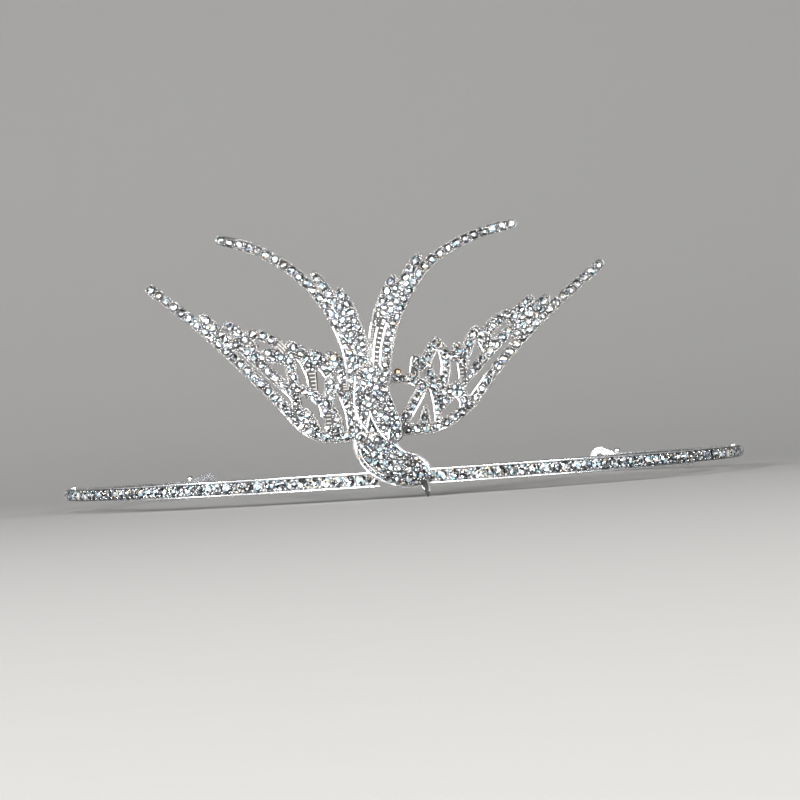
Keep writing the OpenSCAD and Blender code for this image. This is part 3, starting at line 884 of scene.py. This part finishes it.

# %% [markdown]
# ### The castings themselves
#
# The rims of a casting are tapered by moving each vertex of their tops inwards, away from
# the walls that it belongs to. A bevel would do it too, but only by adding faces to edges
# that number thousands. The same pass notes in the mesh how much painted shade each place
# gets, and the floor between the rims is then filled with stones.


# %% Rims of a casting
def eased_rims(shape, level, drop, narrow):
    """Tapers the rims of a casting to a rounded top, and notes how much painted shade each place
    gets.

    level gives a point's height over the rims' top, and drop is their height over the floor.
    """
    hollow = shape.verts.layers.float.new("hollow")
    plain = shape.verts.layers.float.new("plain")
    crest = {vert for vert in shape.verts if level(vert.co) > -NEAR}
    moves = {}
    for vert in crest:
        flanks = {tuple(round(part, 2) for part in face.normal): face.normal.copy()
            for face in vert.link_faces if not crest.issuperset(face.verts)}
        if flanks:
            way = -sum(flanks.values(), Vector()).normalized()
            moves[vert] = way * narrow / max(0.5, -way.dot(next(iter(flanks.values()))))
    for vert in shape.verts:
        behind = level(vert.co) < -drop - NEAR
        # Painted shade: none on the rim tops, a little on the backs, and full on the floor and the
        # walls between the rims.
        vert[hollow] = 0.0 if vert in crest else 0.3 if behind else 1.0
        vert[plain] = float(behind)
    for vert, move in moves.items():
        vert.co += move
    shape.normal_update()
    for face in shape.faces:
        face.smooth = True
    for edge in shape.edges:
        raised = [not crest.isdisjoint(face.verts) for face in edge.link_faces]
        edge.smooth = all(raised) or (not any(raised) and edge.calc_face_angle(0) < radians(35))


print("rims rise", RIM_RISE / MM, "mm")


# %% Floor and level of a casting
def floor_of(level, drop, front):
    """The test for faces on the floor between the rims of a casting."""
    return lambda face: face.normal.dot(front) > 0.8 and all(
        abs(level(vert.co) + drop) < NEAR for vert in face.verts)


def plate_level(node):
    """The height of a point over the rims' top of a flat casting."""
    top = on_plate(node, 0, 0, RIM_RISE / MM)
    front = (top - on_plate(node, 0, 0)).normalized()
    return front, lambda place: (Vector(place) - top).dot(front)


print("the left wing faces", plate_level("left_wing")[0])

# %% The flat castings and what fills them
PLATE_TAPER, BLADE_WIRE, FLAT_SNUG, FLAT_SEED = 0.09 * MM, 0.17 * MM, 1.05, 20
BAR_ROOM, BLADE_ROOM, RIDGE_ROOM, RUNG_ROOM = 0.42 * MM, 0.2 * MM, 0.3 * MM, 0.5 * MM


def kept_clear(lines, clearance):
    """Lines that stones stay clear of, as filled takes them."""
    return [(np.vstack(line), clearance) for line in lines]


for number, node in enumerate(BLADES):
    front, level = plate_level(node)
    shape = joined_copy(node)
    eased_rims(shape, level, RIM_RISE, PLATE_TAPER)
    rims = rim_tops(shape, level)
    blades = [drawn_to_rims(node, path, rims) for path in BLADES[node]]
    # Bright wires on the darker casting, partly painted highlights where its rims catch the light.
    wires(f"{node}_blades", blades, BLADE_WIRE)
    off = kept_clear(BARS.get(node, []), BAR_ROOM) + kept_clear(blades, BLADE_ROOM)
    if node == "right_tail":
        off += kept_clear(ridge_lines, RIDGE_ROOM) + kept_clear(rungs, RUNG_ROOM)
    large = LARGE[f"{node}_stones"]
    filled(node, shape, floor_of(level, RIM_RISE, front), FLAT_SEED + number, large, keep_off=off)
    finished(f"{node}_casting", shape, CAST_SILVER_PAINTED_DARK, [node])
    set_on(f"{node}_stones_cut", large, STONE, GLASS, number, FLAT_SNUG,
        stands_for=[f"{node}_stones"])

# %% [markdown]
# ## Breast and head
#
# The breast and head are one rounded casting. A polished rim runs round its left and lower
# edge with a finer one inside it, and another over the head, and two small arcs make a
# collar under the mantle. The beak is bare metal without stones, darkened as a painted dark
# reflection, and its edge and its ridge shine. Stones of several sizes cover the rest.
#
# The rims can't be drawn in a plane, because the breast bulges. Each is read from the
# front as a few points, and a ray from the front finds where the surface lies behind each
# point of the curve through them. The wires stand most of their radius above the surface,
# or else the stones beside them would hide them.

# %% Places on the breast
body = joined_copy("body")
body_tree = BVHTree.FromBMesh(body)
BEFORE_BODY, FULLEST = Vector((0, -0.1, 0)), 1.2 * MM


def on_body(path, lift):
    """A smooth curve lifted off the front of the body, through points given in mm."""
    curve = []
    for x, z in smooth_path(path):
        point = Vector((x * MM, HOOP_Y - TAIL_BACK - FULLEST, z * MM))
        hit, normal = body_tree.ray_cast(point + BEFORE_BODY, Vector((0, 1, 0)))[:2]
        if hit is None:
            hit, normal = body_tree.find_nearest(point)[:2]
        curve.append(hit + normal * lift * MM)
    return curve


print("middle of the breast:", on_body([(-4, 8)] * 2, 0)[0])

# %% Rims of the body
BODY_RIMS = {
    "body_wide_rim": (0.22, [
        [(-8.9, 11.8), (-8.85, 10.6), (-8.7, 9.5), (-8.45, 8.5), (-8.0, 7.5), (-7.4, 6.55),
            (-6.75, 5.85), (-6.0, 5.2), (-5.2, 4.6), (-4.4, 4.05), (-3.5, 3.55), (-2.6, 3.15),
            (-1.6, 2.85)]]),
    "body_head_rim": (0.2, [
        [(-1.3, 11.3), (-0.95, 10.4), (-0.4, 9.7), (0.5, 9.05), (1.6, 8.5), (3.0, 7.7),
            (4.0, 6.85), (4.6, 5.9), (4.85, 5.1), (4.8, 4.3)]]),
    "body_fine_rim": (0.09, [
        [(-8.2, 10.0), (-8.0, 9.0), (-7.65, 8.15), (-7.15, 7.4), (-6.6, 6.75), (-5.9, 6.1),
            (-5.15, 5.5), (-4.4, 5.0), (-3.7, 4.6)]]),
    "body_collar": (0.18, [
        [(-8.65, 12.2), (-8.3, 12.85), (-7.7, 13.15), (-7.1, 12.9), (-6.7, 12.3)],
        [(-6.3, 12.1), (-5.6, 12.5), (-4.8, 12.85)]]),
    "beak_edge": (0.14, [
        [(3.05, 2.5), (3.3, 2.25), (3.6, 1.9), (3.9, 1.5)]]),
    "beak_ridge": (0.24, [
        [(4.35, 3.4), (4.55, 2.6), (4.65, 1.8), (4.6, 1.1)]]),
}
PROUD, BODY_ROOM = 0.75, 0.08
body_lines = []
for name, (radius, paths) in BODY_RIMS.items():
    lines = [on_body(path, PROUD * radius) for path in paths]
    wires(name, lines, radius * MM)
    body_lines += kept_clear(lines, (radius + BODY_ROOM) * MM)

# %% [markdown]
# ### Mantle
#
# The feathers of the back fold over the breast as three lobes with a thin rim round each.
# This casting is round about an upright axis and leans forward. So its level is measured
# from that axis, and its wires are placed by the same rule, which is exact and needs no
# rays. The boldest parts of its rims are drawn as wires, as on the wings.

# %% Places on the mantle
MANTLE_BACK, MANTLE_TOP, MANTLE_X = 78.0 * MM, 26 * MM, -4.2 * MM
MANTLE_ROUND, MANTLE_T = 9 * MM, 1.5 * MM
LEAN = Matrix.Rotation(radians(85), 3, "X")
MANTLE_AT = Vector((0, HOOP_Y - MANTLE_BACK, MANTLE_TOP))


def mantle_level(place):
    """The height of a point over the rims' top of the mantle, which is round."""
    flat = LEAN.inverted() @ (Vector(place) - MANTLE_AT)
    middle = Vector((MANTLE_X, flat.y, MANTLE_T - MANTLE_ROUND))
    return (flat - middle).length - MANTLE_ROUND - RIM_RISE


def on_mantle(path, height):
    """A smooth curve over the mantle through points given in mm as x and z."""
    curve, reach = [], MANTLE_ROUND + height * MM
    for x, z in smooth_path(path):
        rise = MANTLE_T - MANTLE_ROUND + sqrt(reach**2 - (x * MM - MANTLE_X)**2)
        curve.append(LEAN @ Vector((x * MM, z * MM - MANTLE_TOP, rise)) + MANTLE_AT)
    return curve


print("level on a rim:", mantle_level(on_mantle([(-6, 20)] * 2, RIM_RISE / MM)[0]))

# %% Mantle
BOLD_HEIGHT, BOLD_WIRE, BOLD_ROOM, MANTLE_TAPER = 0.2, 0.13 * MM, 0.2 * MM, 0.07 * MM
MANTLE_SEED, MANTLE_LIVELY = 32, 0.75
BOLD = [on_mantle(path, BOLD_HEIGHT) for path in (
    [(-8.15, 24.1), (-8.35, 22.6), (-8.55, 21.0), (-8.65, 19.5), (-8.55, 18.0), (-8.3, 16.8),
        (-7.95, 15.7), (-7.5, 14.7), (-7.0, 14.0), (-6.55, 13.55)],
    [(-6.45, 13.9), (-6.3, 14.8), (-6.05, 15.6), (-5.75, 16.6)],
    [(-5.75, 17.0), (-5.55, 16.1), (-5.25, 15.2), (-4.9, 14.4), (-4.45, 13.5), (-3.9, 12.6),
        (-3.3, 11.8), (-2.85, 11.3)],
    [(-2.15, 13.4), (-2.3, 12.5), (-2.4, 11.6)])]
# Bright wires on the darker casting where its rims shine most, partly painted highlights, as on the
# wings.
wires("mantle_bold_rims", BOLD, BOLD_WIRE)
mantle = joined_copy("mantle")
mantle_points = [np.array(vert.co) for vert in mantle.verts]
eased_rims(mantle, mantle_level, RIM_RISE, MANTLE_TAPER)
filled("mantle", mantle, floor_of(mantle_level, RIM_RISE, Vector((0, -1, 0))), MANTLE_SEED,
    keep_off=kept_clear(BOLD, BOLD_ROOM), lively=MANTLE_LIVELY)
finished("mantle_casting", mantle, CAST_SILVER_PAINTED_DARK, ["mantle"])

# %% [markdown]
# ### Stones on the breast
#
# The stones go wherever the breast faces the front, but not on the beak and not under the
# mantle, whose points the packing keeps off. Below the stones the metal is darkened with
# painted shade, as on the wings, and the beak and the lowest edge nearly as much, as a
# painted dark reflection. The casting is shaded smooth except where two faces meet at a
# sharp angle.

# %% Fill the body
BEAK_X, BEAK_Z, STONES_FROM_Z, STONES_TO_Z = 2.9 * MM, 3.6 * MM, 2.6 * MM, 15.5 * MM
BODY_SEED, MANTLE_ROOM = 31, 0.3 * MM


def under_stones(place):
    on_beak = place.x > BEAK_X and place.z < BEAK_Z
    return STONES_FROM_Z < place.z < STONES_TO_Z and not on_beak


def smooth_by_angle(shape, angle):
    for face in shape.faces:
        face.smooth = True
    for edge in shape.edges:
        edge.smooth = len(edge.link_faces) == 2 and edge.calc_face_angle() < radians(angle)


filled("body", body,
    lambda face: face.normal.y < -0.25 and under_stones(face.calc_center_median()), BODY_SEED,
    widest=1.5, narrowest=0.5, smooth=True, keep_off=[(mantle_points, MANTLE_ROOM)] + body_lines)
hollow = body.verts.layers.float.new("hollow")
for vert in body.verts:
    # Painted shade under the stones, a painted dark reflection on the beak and the lowest edge, and
    # a little darkening elsewhere.
    vert[hollow] = 1.0 if under_stones(vert.co) else 0.9 if vert.co.z < BEAK_Z else 0.1
smooth_by_angle(body, angle=50)
finished("body_casting", body, SILVER, ["body"])

# %% [markdown]
# ## The hoop and what is left
#
# The hoop is bent from a plated channel. Its CAD solid already has the right shape, so a
# smooth copy is enough, with the floor of the channel marked for painted shade, because
# the stones shade it. The plate behind the breast and the bead of solder keep their own
# CAD meshes and only get their materials.

# %% Band
CHANNEL_R = 74.6 * MM, 75 * MM
band = joined_copy("band")
hollow = band.verts.layers.float.new("hollow")
for vert in band.verts:
    from_middle = sqrt(vert.co.x**2 + (vert.co.y - HOOP_Y)**2)
    in_channel = vert.co.y < HOOP_Y and CHANNEL_R[0] < from_middle < CHANNEL_R[1]
    # Painted shade on the floor of the channel, under the stones.
    vert[hollow] = 0.8 if in_channel else 0.0
smooth_by_angle(band, angle=30)
finished("band_casting", band, SILVER, ["band"])
for node, material in (("body_plate", CAST_SILVER_PAINTED_DARK), ("brass_bead", BRASS)):
    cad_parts[node].data.materials.clear()
    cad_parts[node].data.materials.append(material)
    print(node, "is now", material.name)

# %% [markdown]
# ## Floor
#
# A studio stands small things on a roll of pale paper that turns up into a wall far
# behind, so no horizon shows. One strip of faces along such a profile does the same.

# %% Floor
PAPER = (0.27, 0.267, 0.262, 1)


def backdrop():
    front, bend, depth, height, half = -1.5, 1.2, 0.15, 2.0, 2.5
    profile = [(front, 0.0)]
    profile += [(depth + bend * sin(radians(a)), bend - bend * cos(radians(a)))
        for a in range(0, 91, 5)]
    profile.append((depth + bend, height))
    shape = bmesh.new()
    rows = [[shape.verts.new((x, y, z)) for x in (-half, half)] for y, z in profile]
    for (a, b), (d, c) in zip(rows[:-1], rows[1:]):
        shape.faces.new((a, b, c, d)).smooth = True
    mesh = plain_mesh("backdrop", shape)
    material, graph = new_material("pale_paper")
    place = graph.add("ShaderNodeTexCoord", None, None, "Object")
    fibres = noise(graph, place, 4 * MM)
    surface(graph,
        {"Base Color": PAPER, "Roughness": 0.75 + 0.1 * fibres, "Specular IOR Level": 0.2})
    mesh.materials.append(material)
    floor = placed("backdrop", mesh)
    print("backdrop:", len(mesh.polygons), "faces")


backdrop()

# %% [markdown]
# ## Light
#
# Four large soft lights give the metal its broad highlights, and a low flat one fills the
# underside of the breast. Six small ones high in front are what the facets throw back as
# sparks. A wide sun and a grey world light the paper. The Standard view transform is
# chosen because it keeps the sparks white, where a film-like one would grey them.


# %% Lights
MIDDLE = Vector((0, -0.06, 0.02))


def soft_light(name, place, width, height, power, color=(1, 1, 1)):
    lamp = bpy.data.lights.new(name, "AREA")
    lamp.shape, lamp.size, lamp.size_y = "RECTANGLE", width, height
    lamp.energy, lamp.color = power, color
    light = placed(name, lamp)
    light.location = place
    light.rotation_euler = (MIDDLE - Vector(place)).to_track_quat("-Z", "Y").to_euler()


soft_light("key", (-0.6, -1.0, 0.4), 0.3, 0.3, 12)
soft_light("left", (-1.1, -0.45, 0.25), 0.16, 0.4, 7)
soft_light("right", (0.95, -0.85, 0.3), 0.18, 0.4, 8, (0.9, 0.96, 1))
soft_light("front", (0.1, -1.5, 0.3), 0.5, 0.12, 9)
soft_light("low", (-0.3, -1.0, 0.05), 0.6, 0.05, 5)
print("soft lights aim at", MIDDLE)

# %% Sparks, sky and world
SPARKS = [(-0.45, 0.25, 1.0), (0.4, 0.3, 0.88), (-0.15, 0.5, 0.95), (0.2, 0.12, 1.0),
    (-0.8, 0.45, 1.0), (0.75, 0.5, 0.95)]
for k, (x, z, warmth) in enumerate(SPARKS):
    soft_light(f"spark_{k}", (x, -1.15, z), 0.09, 0.09, 5.0, (1, (1 + warmth) / 2, warmth))
sky = bpy.data.lights.new("sky", "SUN")
sky.energy, sky.angle = 1.0, radians(40)
placed("sky", sky).rotation_euler = Vector((0.1, 0.72, -0.69)).to_track_quat("-Z", "Y").to_euler()
world = bpy.data.worlds.new("studio")
world.use_nodes = True
grey = world.node_tree.nodes["Background"].inputs
grey["Color"].default_value, grey["Strength"].default_value = (0.5, 0.53, 0.56, 1), 0.09
bpy.context.scene.world = world
bpy.context.scene.view_settings.view_transform = "Standard"

# %% [markdown]
# ## Camera
#
# The photograph was taken with a long lens from straight in front, and the piece stands a
# little tilted in it. The camera is turned about its own axis by that tilt, and stays just
# above the floor.

# %% Camera
AIM = Vector((0.2, -65, 19.1)) * MM
EYE = AIM + Vector((0, -500, -7)) * MM
ROLL = 3.8
view = bpy.data.cameras.new("camera")
view.lens, view.sensor_width = 115.5, 36
view.clip_start, view.clip_end = 0.01, 20
camera = placed("camera", view)
camera.location = EYE
camera.rotation_euler = ((AIM - EYE).to_track_quat("-Z", "Y").to_matrix()
    @ Matrix.Rotation(radians(-ROLL), 3, "Z")).to_euler()
bpy.context.scene.camera = camera
print("camera:", view.lens, "mm lens at", EYE)
